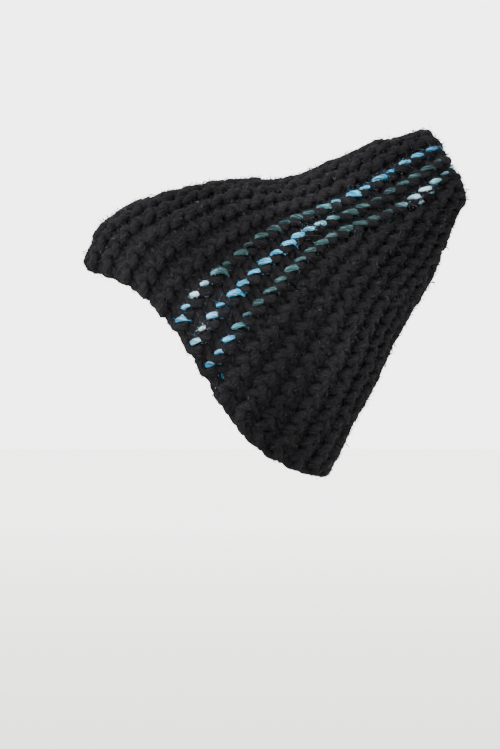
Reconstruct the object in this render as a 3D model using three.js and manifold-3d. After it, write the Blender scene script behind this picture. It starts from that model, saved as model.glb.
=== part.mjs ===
// A hand-knitted pixie hood in super-bulky yarn, with three stripes of slub yarn on the left side.
// Millimetres, +Z up. The wearer faces -Y and the wearer's left is +X.
// The origin is where the inside of the crown bears on the top of the head.
import * as THREE from "three";
import { mergeVertices } from "three/addons/utils/BufferGeometryUtils.js";
import Module from "manifold-3d";

// Overall sizes of the hood as it is worn
const hoodLength = 273;
const hoodHeight = 249;
const hoodBreadth = 166;
const seatShare = 0.427;
const profileSize = new THREE.Vector3(hoodBreadth, hoodLength, hoodHeight);

// The knitted fabric
const knitWall = 10;
const ridgeRelief = 3;
const rimRoll = 2.4;
const pieceGap = 0.3;

// The peak, where the ends of the ridges are drawn together
const peakRise = 9.5;
const peakPucker = 3.2;

// Garter ridges run from the rim to the peak. Short ridges stop on the way, in wedges that shape the
// hood: each wedge has one ridge for each reach, given as a share of the way to the peak.
const ridgeCount = 32;
const wedgeStarts = [3, 9, 15, 20, 26];
const wedgeReaches = [0.65, 0.75, 0.85];
const taperShare = 0.12;
const halfRidge = 0.5;

// The three slub stripes lie on ridges 0, 1 and 2, and each is one row of knitting wide
const stripeRidges = [0, 1, 2];
const rowWidth = 0.5;
const anchorRidge = 1;

// Mesh fineness: rings from rim to peak, and steps across the ridges outside and inside
const ringSteps = 16;
const outerStep = 0.25;
const innerStep = 0.5;

// Widths, and distances between points, that count as none, and the step for measuring a slope
const noWidth = 1e-6;
const noDistance = 1e-5;
const slopeStep = 1e-3;

// Cross sections at equal steps along the ridges, from the rim to the peak. Every section is a ring
// through a point on the top line and a point on the back line of the hood.
// top, back: places of those points, as shares of hoodLength from the forehead and of hoodHeight
// from the nape. breadth: share of hoodBreadth. sway: how far the ring leans to the peak in front
// and to the rim behind, and lift: how far its sides bow to the peak, as shares of hoodLength.
// stripe: place of the middle stripe round the ring, in degrees of its length from the top line.
const columns = ["topAlong", "topUp", "backAlong", "backUp", "breadth", "sway", "lift", "stripe"];
const sections = [
  [0, 0.613, 0.641, 0, 0.96, 0.122, -0.007, 80.6],
  [0.055, 0.736, 0.687, 0.099, 1, 0.09, -0.005, 83.2],
  [0.165, 0.801, 0.732, 0.196, 0.97, 0.058, 0, 81.4],
  [0.285, 0.841, 0.78, 0.292, 0.88, 0.032, 0.005, 77.8],
  [0.408, 0.86, 0.821, 0.392, 0.75, 0.016, 0.008, 73.4],
  [0.533, 0.863, 0.871, 0.487, 0.61, 0.005, 0.01, 69.3],
  [0.649, 0.91, 0.921, 0.579, 0.49, 0, 0.01, 73.9],
  [0.765, 0.964, 0.96, 0.682, 0.39, 0, 0.01, 79.3],
  [0.884, 1, 0.997, 0.783, 0.32, 0, 0.01, 80.5],
];

// Loose stitches near the rim, behind the stripes, that leave small holes through the fabric.
// ridge and reach place each hole, and size is its share of the largest hole.
const looseLength = 6.2;
const looseWidth = 2.6;
const looseStitches = [
  { ridge: 2.5, reach: 0.04, size: 1 },
  { ridge: 3.5, reach: 0.041, size: 0.8 },
  { ridge: 4.5, reach: 0.056, size: 0.8 },
  { ridge: 4.5, reach: 0.028, size: 0.75 },
  { ridge: 5.25, reach: 0.044, size: 0.8 },
  { ridge: 6, reach: 0.042, size: 0.65 },
];

// Profile of the drawn-in peak: share of the ring's radius, and share of peakRise above the ring
const peakProfile = [
  { radius: 0.93, rise: 0.45 },
  { radius: 0.72, rise: 0.86 },
  { radius: 0.42, rise: 1.0 },
  { radius: 0.16, rise: 0.93 },
];

const colours = {
  blackWool: 0x17171a,
  slubBlue: 0x6fb3cf,
  slubTeal: 0x54798a,
  slubPale: 0xa9cfdc,
};

// A smooth curve through a column of the sections, at a share of the way to the peak
function column(name, reach) {
  const key = columns.indexOf(name);
  const last = sections.length - 1;
  const place = Math.min(Math.max(reach, 0), 1) * last;
  const start = Math.min(Math.floor(place), last - 1);
  const part = place - start;
  const value = (index) => {
    if (index < 0) return 2 * sections[0][key] - sections[1][key];
    if (index > last) return 2 * sections[last][key] - sections[last - 1][key];
    return sections[index][key];
  };
  const before = value(start - 1);
  const first = value(start);
  const second = value(start + 1);
  const after = value(start + 2);
  const slopeOne = (second - before) / 2;
  const slopeTwo = (after - first) / 2;
  const cubic = 2 * (first - second) + slopeOne + slopeTwo;
  const square = 3 * (second - first) - 2 * slopeOne - slopeTwo;
  return first + part * (slopeOne + part * (square + part * cubic));
}

// A point of the outer surface, level with the crests of the ridges, measured from the forehead rim
// in Y and from the nape rim in Z
function skin(angle, reach) {
  const top = new THREE.Vector3(0, column("topAlong", reach), column("topUp", reach));
  const back = new THREE.Vector3(0, column("backAlong", reach), column("backUp", reach));
  top.multiply(profileSize);
  back.multiply(profileSize);
  const chord = back.clone().sub(top);
  const toPeak = new THREE.Vector3(0, -chord.z, chord.y).normalize();
  const side = Math.sin(angle);
  const lean = (column("sway", reach) * Math.cos(angle) + column("lift", reach)) * hoodLength * side * side;
  const point = top.addScaledVector(chord, (1 - Math.cos(angle)) / 2);
  point.addScaledVector(toPeak, lean);
  point.x = (side * column("breadth", reach) * hoodBreadth) / 2;
  return point;
}

// Directions round the ring, along the ridge and out of the fabric at a point of the surface
function directions(angle, reach) {
  const low = Math.max(reach - slopeStep, 0);
  const high = Math.min(reach + slopeStep, 1);
  const round = skin(angle + slopeStep, reach).sub(skin(angle - slopeStep, reach)).normalize();
  const along = skin(angle, high).sub(skin(angle, low)).normalize();
  const out = new THREE.Vector3().crossVectors(round, along).normalize();
  return { round, along, out };
}

// Share of its full width that a ridge has at a reach: short ridges taper to nothing
function ridgeWidth(ridge, reach) {
  for (const start of wedgeStarts) {
    const place = ridge - start;
    if (place < 0 || place >= wedgeReaches.length) continue;
    const left = (wedgeReaches[place] - reach) / taperShare + halfRidge;
    return Math.min(Math.max(left, 0), 1);
  }
  return 1;
}

// Sum of the ridge widths all round the ring at a reach
function widthOfAll(reach) {
  let sum = 0;
  for (let ridge = 0; ridge < ridgeCount; ridge += 1) sum += ridgeWidth(ridge, reach);
  return sum;
}

// Sum of the ridge widths from the near edge of ridge 0 to a place among the ridges. Crests are at
// whole numbers, and places a whole turn apart are the same place of the fabric.
function widthUpTo(place, reach) {
  const turns = Math.floor((place + halfRidge) / ridgeCount);
  const rest = place + halfRidge - turns * ridgeCount;
  let sum = turns * widthOfAll(reach);
  for (let ridge = 0; ridge < rest; ridge += 1) {
    sum += Math.min(rest - ridge, 1) * ridgeWidth(ridge, reach);
  }
  return sum;
}

// Angle round the ring of a place among the ridges. The ridges are evenly spaced along the ring, so
// on its long flat sides they are closer in angle than at its ends.
function ridgeAngle(place, reach) {
  const share = (widthUpTo(place, reach) - widthUpTo(anchorRidge, reach)) / widthOfAll(reach);
  const even = THREE.MathUtils.degToRad(column("stripe", reach)) + share * 2 * Math.PI;
  const long = skin(0, reach).distanceTo(skin(Math.PI, reach));
  const broad = column("breadth", reach) * hoodBreadth;
  return even + ((long - broad) / (2 * (long + broad))) * Math.sin(2 * even);
}

// How far the fabric lies below the crests on its outside, and above its inner crests on its inside
function outerValley(place) {
  return (ridgeRelief * (1 - Math.cos(2 * Math.PI * place))) / 2;
}

function innerValley(place) {
  return ridgeRelief - outerValley(place);
}

// A point of the outside or the inside of the fabric, moved sideways by shift along the ring
function fabricPoint(place, reach, inside, shift) {
  const angle = ridgeAngle(place, reach);
  const { round, out } = directions(angle, reach);
  const depth = inside ? knitWall - innerValley(place) : outerValley(place);
  return skin(angle, reach).addScaledVector(out, -depth).addScaledVector(round, shift);
}

// The seat: the inside of the crown on the top line
const seatDirections = directions(0, seatShare);
const seat = skin(0, seatShare).addScaledVector(seatDirections.out, -knitWall);

// Collects points and triangles of one closed body
class Body {
  constructor() {
    this.points = [];
    this.faces = [];
  }

  add(point) {
    this.points.push(point);
    return this.points.length - 1;
  }

  face(a, b, c) {
    if (a === b || b === c || a === c) return;
    this.faces.push(a, b, c);
  }

  // Fills the space between two chains of points whose places rise together
  join(first, second, flip) {
    let i = 0;
    let j = 0;
    while (i < first.ids.length - 1 || j < second.ids.length - 1) {
      const nextFirst = i < first.ids.length - 1 ? first.places[i + 1] : Infinity;
      const nextSecond = j < second.ids.length - 1 ? second.places[j + 1] : Infinity;
      const a = first.ids[i];
      const b = second.ids[j];
      let c = 0;
      if (nextFirst <= nextSecond) {
        i += 1;
        c = first.ids[i];
      } else {
        j += 1;
        c = second.ids[j];
      }
      if (flip) this.face(a, b, c);
      else this.face(a, c, b);
    }
  }

  geometry() {
    const positions = this.points.flatMap((point) => point.clone().sub(seat).toArray());
    const shape = new THREE.BufferGeometry();
    shape.setAttribute("position", new THREE.Float32BufferAttribute(positions, 3));
    shape.setIndex(this.faces);
    return shape;
  }
}

// Places across a strip of fabric: its two edges and every step between them
function placesAcross(from, to, step) {
  const places = [from];
  for (let index = Math.floor(from / step) + 1; index * step < to - step / 100; index += 1) {
    places.push(index * step);
  }
  places.push(to);
  return places;
}

// One ring of points across a strip. Where a short ridge has ended, its places share one point.
function chain(body, places, reach, inside) {
  const ids = [];
  let lastWidth = -1;
  places.forEach((place, index) => {
    const width = widthUpTo(place, reach);
    const atStart = index === 0;
    const atEnd = index === places.length - 1;
    if (!atStart && width - lastWidth < noWidth) {
      ids.push(ids[ids.length - 1]);
      return;
    }
    lastWidth = width;
    const shift = (atStart ? pieceGap / 2 : 0) - (atEnd ? pieceGap / 2 : 0);
    ids.push(body.add(fabricPoint(place, reach, inside, shift)));
  });
  return { ids, places };
}

// A strip of fabric from the rim to the peak, between two places among the ridges
function fabricStrip(from, to) {
  const body = new Body();
  const outerPlaces = placesAcross(from, to, outerStep);
  const innerPlaces = placesAcross(from, to, innerStep);
  const topReach = 1 - pieceGap / 2 / hoodHeight;
  const outer = [];
  const inner = [];
  for (let step = 0; step <= ringSteps; step += 1) {
    const reach = (topReach * step) / ringSteps;
    outer.push(chain(body, outerPlaces, reach, false));
    inner.push(chain(body, innerPlaces, reach, true));
  }
  for (let step = 0; step < ringSteps; step += 1) {
    body.join(outer[step], outer[step + 1], false);
    body.join(inner[step], inner[step + 1], true);
    sideWall(body, outer, inner, step, 0, true);
    sideWall(body, outer, inner, step, 1, false);
  }
  const edge = rolledEdge(body, outerPlaces, outer[0], inner[0]);
  body.join(edge, outer[0], false);
  body.join(inner[0], edge, false);
  body.join(outer[ringSteps], inner[ringSteps], false);
  return body.geometry();
}

// The middle of the rolled edge along the rim, which stands a little proud of the two faces
function rolledEdge(body, places, outer, inner) {
  const ids = [];
  places.forEach((place, index) => {
    const atEnd = index === places.length - 1;
    const near = body.points[outer.ids[index]];
    const innerIndex = inner.places.findIndex((other) => other >= place);
    const farPlace = inner.places[innerIndex];
    const far = body.points[inner.ids[innerIndex]];
    let across = far.clone();
    if (!atEnd && farPlace > place && innerIndex > 0) {
      const before = inner.places[innerIndex - 1];
      const share = (place - before) / (farPlace - before);
      across = body.points[inner.ids[innerIndex - 1]].clone().lerp(far, share);
    }
    const { along } = directions(ridgeAngle(place, 0), 0);
    ids.push(body.add(near.clone().lerp(across, 0.5).addScaledVector(along, -rimRoll)));
  });
  const last = ids.length - 1;
  body.face(outer.ids[0], inner.ids[0], ids[0]);
  body.face(outer.ids[last], ids[last], inner.ids[inner.ids.length - 1]);
  return { ids, places };
}

// The wall that closes a strip along one of its two long edges
function sideWall(body, outer, inner, step, edge, flip) {
  const pick = (ring) => ring.ids[edge === 0 ? 0 : ring.ids.length - 1];
  const a = pick(outer[step]);
  const b = pick(outer[step + 1]);
  const c = pick(inner[step + 1]);
  const d = pick(inner[step]);
  if (flip) {
    body.face(a, b, c);
    body.face(a, c, d);
  } else {
    body.face(a, c, b);
    body.face(a, d, c);
  }
}

// The end of the peak: the ridges are drawn in to one point and stand up round it
function peakGather() {
  const body = new Body();
  const places = placesAcross(-halfRidge, ridgeCount - halfRidge, outerStep).slice(0, -1);
  const insidePlaces = placesAcross(-halfRidge, ridgeCount - halfRidge, innerStep).slice(0, -1);
  const lift = (place) => directions(ridgeAngle(place, 1), 1).along.multiplyScalar(pieceGap / 2);
  const closed = (ring) => ({
    ids: [...ring.ids, ring.ids[0]],
    places: [...ring.places, ridgeCount - halfRidge],
  });
  const ringOf = (list, make) => {
    const ids = [];
    let lastWidth = -1;
    for (const place of list) {
      const width = widthUpTo(place, 1);
      if (width - lastWidth >= noWidth) ids.push(body.add(make(place)));
      else ids.push(ids[ids.length - 1]);
      lastWidth = width;
    }
    return closed({ ids, places: list });
  };
  const middle = skin(0, 1).lerp(skin(Math.PI, 1), 0.5);
  const chord = skin(Math.PI, 1).sub(skin(0, 1));
  const upward = new THREE.Vector3(0, -chord.z, chord.y).normalize();
  const rim = ringOf(places, (place) => fabricPoint(place, 1, false, 0).add(lift(place)));
  const rings = [rim];
  for (const row of peakProfile) {
    rings.push(ringOf(places, (place) => {
      const start = skin(ridgeAngle(place, 1), 1);
      const point = middle.clone().lerp(start, row.radius);
      return point.addScaledVector(upward, row.rise * peakRise - outerValley(place) * row.radius);
    }));
  }
  const insideRim = ringOf(insidePlaces, (place) => fabricPoint(place, 1, true, 0).add(lift(place)));
  for (let index = 0; index < rings.length - 1; index += 1) {
    body.join(rings[index], rings[index + 1], false);
  }
  body.join(rim, insideRim, true);
  const tip = body.add(middle.clone().addScaledVector(upward, peakRise - peakPucker));
  const base = body.add(middle.clone().addScaledVector(upward, pieceGap));
  const last = rings[rings.length - 1].ids;
  for (let index = 0; index < last.length - 1; index += 1) {
    body.face(last[index], last[index + 1], tip);
  }
  for (let index = 0; index < insideRim.ids.length - 1; index += 1) {
    body.face(insideRim.ids[index + 1], insideRim.ids[index], base);
  }
  return body.geometry();
}

// A closed solid for cutting, from any closed geometry
function solidOf(wasm, geometry) {
  const bare = geometry.clone();
  bare.deleteAttribute("normal");
  bare.deleteAttribute("uv");
  const merged = mergeVertices(bare, noDistance);
  const mesh = new wasm.Mesh({
    numProp: 3,
    vertProperties: new Float32Array(merged.attributes.position.array),
    triVerts: new Uint32Array(merged.index.array),
  });
  return new wasm.Manifold(mesh);
}

function geometryOf(solid) {
  const mesh = solid.getMesh();
  const shape = new THREE.BufferGeometry();
  shape.setAttribute("position", new THREE.BufferAttribute(mesh.vertProperties, 3));
  shape.setIndex(new THREE.BufferAttribute(mesh.triVerts, 1));
  return shape;
}

// The spindle-shaped gap that a loose stitch leaves, as a prism through the fabric
function looseStitchHole(stitch) {
  const halfLength = (stitch.size * looseLength) / 2;
  const halfWidth = (stitch.size * looseWidth) / 2;
  const outline = new THREE.Shape();
  outline.moveTo(-halfLength, 0);
  outline.lineTo(-halfLength / 3, -halfWidth);
  outline.lineTo(halfLength / 3, -halfWidth);
  outline.lineTo(halfLength, 0);
  outline.lineTo(halfLength / 3, halfWidth);
  outline.lineTo(-halfLength / 3, halfWidth);
  outline.closePath();
  const through = knitWall * 2;
  const prism = new THREE.ExtrudeGeometry(outline, { depth: through, bevelEnabled: false });
  prism.translate(0, 0, -through / 2);
  const angle = ridgeAngle(stitch.ridge, stitch.reach);
  const { along, out } = directions(angle, stitch.reach);
  const across = new THREE.Vector3().crossVectors(out, along);
  const centre = skin(angle, stitch.reach).addScaledVector(out, -knitWall / 2).sub(seat);
  const frame = new THREE.Matrix4().makeBasis(along, across, out).setPosition(centre);
  return prism.applyMatrix4(frame);
}

// The black fabric round the back, the far side and the front, with its loose stitches
async function hoodFabric() {
  const wasm = await Module();
  wasm.setup();
  const from = stripeRidges[stripeRidges.length - 1] + rowWidth / 2;
  const to = stripeRidges[0] + ridgeCount - rowWidth / 2;
  let fabric = solidOf(wasm, fabricStrip(from, to));
  for (const stitch of looseStitches) {
    fabric = fabric.subtract(solidOf(wasm, looseStitchHole(stitch)));
  }
  return geometryOf(fabric);
}

function part(name, geometry, colour) {
  const material = new THREE.MeshStandardMaterial({ color: colour, roughness: 0.92, metalness: 0 });
  material.name = name;
  const mesh = new THREE.Mesh(geometry, material);
  mesh.name = name;
  return mesh;
}

const hood = new THREE.Group();
hood.name = "pixie_hood";
hood.add(part("hood_fabric", await hoodFabric(), colours.blackWool));

const stripes = [
  { name: "slub_stripe_front", colour: colours.slubTeal },
  { name: "slub_stripe_middle", colour: colours.slubBlue },
  { name: "slub_stripe_back", colour: colours.slubPale },
];
stripes.forEach((stripe, index) => {
  const centre = stripeRidges[index];
  hood.add(part(stripe.name, fabricStrip(centre - rowWidth / 2, centre + rowWidth / 2), stripe.colour));
});

const courses = ["black_course_front", "black_course_back"];
courses.forEach((name, index) => {
  const from = stripeRidges[index] + rowWidth / 2;
  const to = stripeRidges[index + 1] - rowWidth / 2;
  hood.add(part(name, fabricStrip(from, to), colours.blackWool));
});

hood.add(part("peak_gather", peakGather(), colours.blackWool));

export default hood;
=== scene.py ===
# %% [markdown]
# # A pixie hood in super-bulky garter stitch
# The hood is one piece of hand knitting, worked sideways: every row runs from the rim to the peak,
# and the rows lie side by side round the hood. In garter stitch two rows make one ridge. Three
# single rows on its left side are knitted in a thick-thin slub yarn.
#
# A knitted pattern painted on a plain shell looks flat at the rim and in light from the side. So
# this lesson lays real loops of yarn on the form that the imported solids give, row by row, and the
# loops themselves make the ridges, the bumps of the rim and the small gaps between stitches.

# %% Load the frame
import math

import bpy
import numpy as np
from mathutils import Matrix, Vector


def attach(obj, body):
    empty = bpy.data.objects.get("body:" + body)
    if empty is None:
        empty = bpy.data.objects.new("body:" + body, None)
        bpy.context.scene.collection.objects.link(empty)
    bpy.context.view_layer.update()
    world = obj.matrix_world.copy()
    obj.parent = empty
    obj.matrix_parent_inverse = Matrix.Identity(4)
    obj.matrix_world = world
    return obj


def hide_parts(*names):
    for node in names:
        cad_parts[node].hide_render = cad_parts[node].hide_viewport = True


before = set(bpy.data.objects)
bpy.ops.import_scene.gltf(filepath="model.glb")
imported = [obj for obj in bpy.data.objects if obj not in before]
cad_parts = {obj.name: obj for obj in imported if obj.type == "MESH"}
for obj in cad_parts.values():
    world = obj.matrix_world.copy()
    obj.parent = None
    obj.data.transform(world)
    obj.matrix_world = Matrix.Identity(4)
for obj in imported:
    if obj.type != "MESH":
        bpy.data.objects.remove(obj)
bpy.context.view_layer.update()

print("solids:", ", ".join(sorted(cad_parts)))

# %% [markdown]
# ## The form that the knitting follows
# A soft hat has no drawing, only sections. Each row of this table is a ring round the hood: a point
# on the top line, a point on the back line, how broad the ring is and how it leans. The lengths are
# shares of three real sizes, so the table reads like a tailor's chart. The rings between its rows
# come from a smooth curve through them, as a fabric takes a smooth line between its pins.

# %% Sizes and sections
MM = 0.001
HOOD_LENGTH = 273 * MM
HOOD_HEIGHT = 249 * MM
HOOD_BREADTH = 166 * MM
SIDE_SIZE = np.array([HOOD_LENGTH, HOOD_HEIGHT])

# top along, top up, back along, back up, breadth, sway, lift, place of the middle stripe in degrees
TOP, BACK, BREADTH, SWAY, LIFT, STRIPE = slice(0, 2), slice(2, 4), 4, 5, 6, 7
SECTIONS = np.array([
    (0.000, 0.613, 0.641, 0.000, 0.96, 0.122, -0.007, 80.6),
    (0.055, 0.736, 0.687, 0.099, 1.00, 0.090, -0.005, 83.2),
    (0.165, 0.801, 0.732, 0.196, 0.97, 0.058, 0.000, 81.4),
    (0.285, 0.841, 0.780, 0.292, 0.88, 0.032, 0.005, 77.8),
    (0.408, 0.860, 0.821, 0.392, 0.75, 0.016, 0.008, 73.4),
    (0.533, 0.863, 0.871, 0.487, 0.61, 0.005, 0.010, 69.3),
    (0.649, 0.910, 0.921, 0.579, 0.49, 0.000, 0.010, 73.9),
    (0.765, 0.964, 0.960, 0.682, 0.39, 0.000, 0.010, 79.3),
    (0.884, 1.000, 0.997, 0.783, 0.32, 0.000, 0.010, 80.5),
])


def sections_at(reach):
    """Smooth values of every column at shares of the way from the rim (0) to the peak (1)."""
    before_first = 2 * SECTIONS[:1] - SECTIONS[1:2]
    after_last = 2 * SECTIONS[-1:] - SECTIONS[-2:-1]
    ends = np.vstack([before_first, SECTIONS, after_last])
    steps = len(SECTIONS) - 1
    place = np.clip(reach, 0, 1) * steps
    start = np.minimum(place.astype(int), steps - 1)
    part = (place - start)[..., None]
    before, first, second, after = (ends[start + k] for k in range(4))
    slope_one = (second - before) / 2
    slope_two = (after - first) / 2
    cubic = 2 * (first - second) + slope_one + slope_two
    square = 3 * (second - first) - 2 * slope_one - slope_two
    return first + part * (slope_one + part * (square + part * cubic))


half_way = sections_at(np.array([0.5]))[0]
print("sections:", len(SECTIONS), "breadth half way, mm:",
      round(half_way[BREADTH] * HOOD_BREADTH / MM))

# %% [markdown]
# ## A surface to knit on
# Each ring is nearly an ellipse that leans: its front sways to the peak and its back to the rim,
# and its sides bow a little. An angle of 0 is the top line, and 180 degrees is the back line.

# %% Rings
def ring_points(angle, reach):
    """Points of the rings between the rim and the shoulder of the peak."""
    q = sections_at(reach)
    top = q[..., TOP] * SIDE_SIZE
    chord = q[..., BACK] * SIDE_SIZE - top
    to_peak = np.stack([-chord[..., 1], chord[..., 0]], -1)
    to_peak /= np.linalg.norm(chord, axis=-1, keepdims=True)
    side = np.sin(angle)
    lean = (q[..., SWAY] * np.cos(angle) + q[..., LIFT]) * HOOD_LENGTH * side**2
    flat = top + chord * ((1 - np.cos(angle)) / 2)[..., None] + to_peak * lean[..., None]
    return np.stack([side * q[..., BREADTH] * HOOD_BREADTH / 2, flat[..., 0], flat[..., 1]], -1)


forehead, nape = ring_points(np.array([0.0, np.pi]), np.zeros(2)) / MM
print("rim at the forehead and the nape, mm:", np.round(forehead), np.round(nape))

# %% [markdown]
# `skin` goes further than the rings. Past a reach of 1 the fabric turns in over the end of the
# peak, where a thread draws the ridges together and pulls a small pucker into the middle. Before 0
# it runs on straight, for the loops of yarn that turn round at the rim.

# %% The whole skin of the hood
STITCHES = 22
PEAK_STITCHES = 2.9
PEAK_SHARE = PEAK_STITCHES / STITCHES
PEAK_RISE = 9.5 * MM
PEAK_PUCKER = 5 * MM
PUCKER_WIDTH = 0.25
PEAK_DRAW_IN = 1.5
PEAK_ROUNDNESS = 2.6
RIM_STEP = 0.02
SLOPE_STEP = 2e-3


def skin(angle, reach):
    """Points level with the crests of the ridges, also past the shoulder and before the rim."""
    angle, reach = np.broadcast_arrays(np.asarray(angle, float), np.asarray(reach, float))
    points = ring_points(angle, reach)
    edge = ring_points(angle, np.zeros_like(reach))
    slope = (ring_points(angle, np.full_like(reach, RIM_STEP)) - edge) / RIM_STEP
    points = points + slope * np.minimum(reach, 0)[..., None]
    one = np.ones_like(reach)
    top = ring_points(angle * 0, one)
    back = ring_points(angle * 0 + np.pi, one)
    middle = (top + back) / 2
    chord = back - top
    upward = np.stack([chord[..., 0] * 0, -chord[..., 2], chord[..., 1]], -1)
    upward /= np.linalg.norm(upward, axis=-1, keepdims=True)
    past = np.clip((reach - 1) / PEAK_SHARE, 0, 1)
    radius = 1 - past**PEAK_DRAW_IN
    rise = (1 - radius**PEAK_ROUNDNESS) ** (1 / PEAK_ROUNDNESS) * PEAK_RISE
    rise = rise - PEAK_PUCKER * np.exp(-((radius / PUCKER_WIDTH) ** 2))
    dome = middle + (ring_points(angle, one) - middle) * radius[..., None]
    dome = dome + upward * rise[..., None]
    return np.where((reach > 1)[..., None], dome, points)


def out_of(angle, reach):
    """Unit directions out of the fabric."""
    around = skin(angle + SLOPE_STEP, reach) - skin(angle - SLOPE_STEP, reach)
    along = skin(angle, reach + SLOPE_STEP) - skin(angle, reach - SLOPE_STEP)
    around /= np.linalg.norm(around, axis=-1, keepdims=True) + 1e-12
    along /= np.linalg.norm(along, axis=-1, keepdims=True) + 1e-12
    out = np.cross(around, along)
    return out / (np.linalg.norm(out, axis=-1, keepdims=True) + 1e-12)


# The frame's origin is where the inside of the crown bears, so that point is taken off every other
KNIT_WALL = 10 * MM
seat_angle = np.array([0.0])
seat_reach = np.array([0.427])
SEAT = (skin(seat_angle, seat_reach) - out_of(seat_angle, seat_reach) * KNIT_WALL)[0]
print("inside of the crown, from the forehead and the nape, mm:", np.round(SEAT / MM, 1))

# %% [markdown]
# ## Ridges and short rows
# There are 32 ridges at the rim and fewer at the peak. A knitter gets that shape with short rows:
# every so often a ridge turns back before the peak, and its neighbours close up over its end.
# Ridges are evenly spaced along the ring, so a place among the ridges has to be turned into an
# angle. Equal lengths on a flattened ring aren't equal angles, and one sine puts that right.

# %% Places among the ridges
RIDGES = 32
WEDGE_STARTS = (3, 9, 15, 20, 26)
WEDGE_REACHES = (0.65, 0.75, 0.85)
TAPER = 0.12
ANCHOR_RIDGE = 1.0

RIDGE_REACH = {s + i: r for s in WEDGE_STARTS for i, r in enumerate(WEDGE_REACHES)}


def ridge_widths(reach):
    """Share of its full width that each ridge has at each reach."""
    reach = np.asarray(reach, float)
    widths = np.ones(reach.shape + (RIDGES,))
    for ridge, end in RIDGE_REACH.items():
        widths[..., ridge] = np.clip((end - reach) / TAPER + 0.5, 0, 1)
    return widths


def ridge_angle(place, reach):
    """Angle round the ring of a place among the ridges, whose crests are at whole numbers."""
    widths = ridge_widths(reach)
    whole = widths.sum(-1)

    def width_up_to(at):
        turns = np.floor((at + 0.5) / RIDGES)
        rest = at + 0.5 - turns * RIDGES
        shares = np.clip(rest[..., None] - np.arange(RIDGES), 0, 1)
        return turns * whole + (shares * widths).sum(-1)

    q = sections_at(reach)
    share = (width_up_to(place) - width_up_to(np.full_like(place, ANCHOR_RIDGE))) / whole
    even = np.radians(q[..., STRIPE]) + share * 2 * np.pi
    chord = (q[..., BACK] - q[..., TOP]) * SIDE_SIZE
    long = np.linalg.norm(chord, axis=-1)
    broad = q[..., BREADTH] * HOOD_BREADTH
    return even + (long - broad) / (2 * (long + broad)) * np.sin(2 * even)


def on_fabric(place, stitch, height):
    """Points at a place among the ridges, stitches from the rim and a height over the crests."""
    reach = stitch / STITCHES
    angle = ridge_angle(place, reach)
    return skin(angle, reach) + out_of(angle, reach) * height[..., None] - SEAT


print("ridges that stop short:", len(RIDGE_REACH))

# %% [markdown]
# ## Uneven by hand
# No two stitches of a hand knitter are the same, but neighbours are alike, because the hands tire
# and recover slowly. A few sines with seeded rates and phases give that kind of noise, and it is
# the same in every run.

# %% Slow noise along a row
NOISE_SINES = 4


def smooth_noise(at, seed, scale):
    """Noise between about -1 and 1 that varies along a row, over a scale in stitches."""
    local = np.random.default_rng(seed)
    phases = local.uniform(0, 2 * np.pi, NOISE_SINES)
    rates = local.uniform(0.6, 1.6, NOISE_SINES) / scale
    return sum(np.sin(at * r + p) for r, p in zip(rates, phases)) / 2.2


sample = smooth_noise(np.linspace(0, STITCHES, 200), 1, 1.0)
print("noise runs from", round(sample.min(), 2), "to", round(sample.max(), 2))

# %% [markdown]
# ## One stitch
# A knitted stitch is a loop with wide feet, narrow legs and a wide head. The head of each stitch
# goes through the loop of the next row. In garter stitch the feet and heads stand out on one face
# and the legs cross to the other, which makes the ridges. The loop's course is a few sines: along
# the row it swings back on itself, across the row it rises and falls, and its height goes from one
# face of the fabric to the other. A curve drawn by hand for each stitch would give no more, and
# there are 1,400 stitches.

# %% Yarn and stitch sizes
YARN_RADIUS = 2.75 * MM
# the middle of the fabric, from the crests of the ridges
MIDDLE_HEIGHT = -4.9 * MM
POINTS_A_STITCH = 16
# a power under 1 makes the feet and heads flatter than a sine, and the legs between them steeper
FLATTER = 0.65

# swing: how far the loop swings back on itself, in stitches; reach and lean: how far it goes across
# the row, and slants, in ridges; face and back: heights over the middle on its two sides, in mm;
# round: how soon it sinks from its highest point
BLACK_LOOP = {
    "swing": 0.19, "reach": 0.37, "lean": 0.20, "face": 3.2, "back": 2.7, "round": 2.8,
}
# beside the slub the black loops are pulled down, so that its grains show over them
BESIDE_SLUB = {
    "swing": 0.18, "reach": 0.35, "lean": -0.20, "face": 2.1, "back": 2.7, "round": 2.1,
}
SLUB_LOOP = {
    "swing": 0.30, "reach": 0.33, "lean": 0.24, "face": 3.4, "back": 4.1, "round": 3.0,
}
# for each kind of unevenness: seed of the first row, scale in stitches, and how much
UNEVEN = {
    "swing": (100, 1.0, 0.02),
    "reach": (300, 0.7, 0.07),
    "along": (500, 1.5, 0.04),
    "place": (700, 0.8, 0.02),
    "girth": (900, 0.5, 0.05),
    "height": (1100, 0.3, 0.65),
    "tone": (1500, 3.0, 0.2),
    "slubs": (2000, 0.3, 0.3),
}
FACE_WOBBLE_MM = 0.25


def uneven(kind, stitch, row):
    """How much a stitch of a row differs from the next in one of the ways of the table."""
    seed, scale, amount = UNEVEN[kind]
    return amount * smooth_noise(stitch, seed + row, scale)


print("yarn, mm:", 2 * YARN_RADIUS / MM, "stitches in a full row:", STITCHES)

# %% [markdown]
# Rows alternate: the feet of an even row are on the outside, and so are the heads of an odd row.
# Both lean the same way along the row, which gives garter stitch its interlocked bumps.

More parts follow.
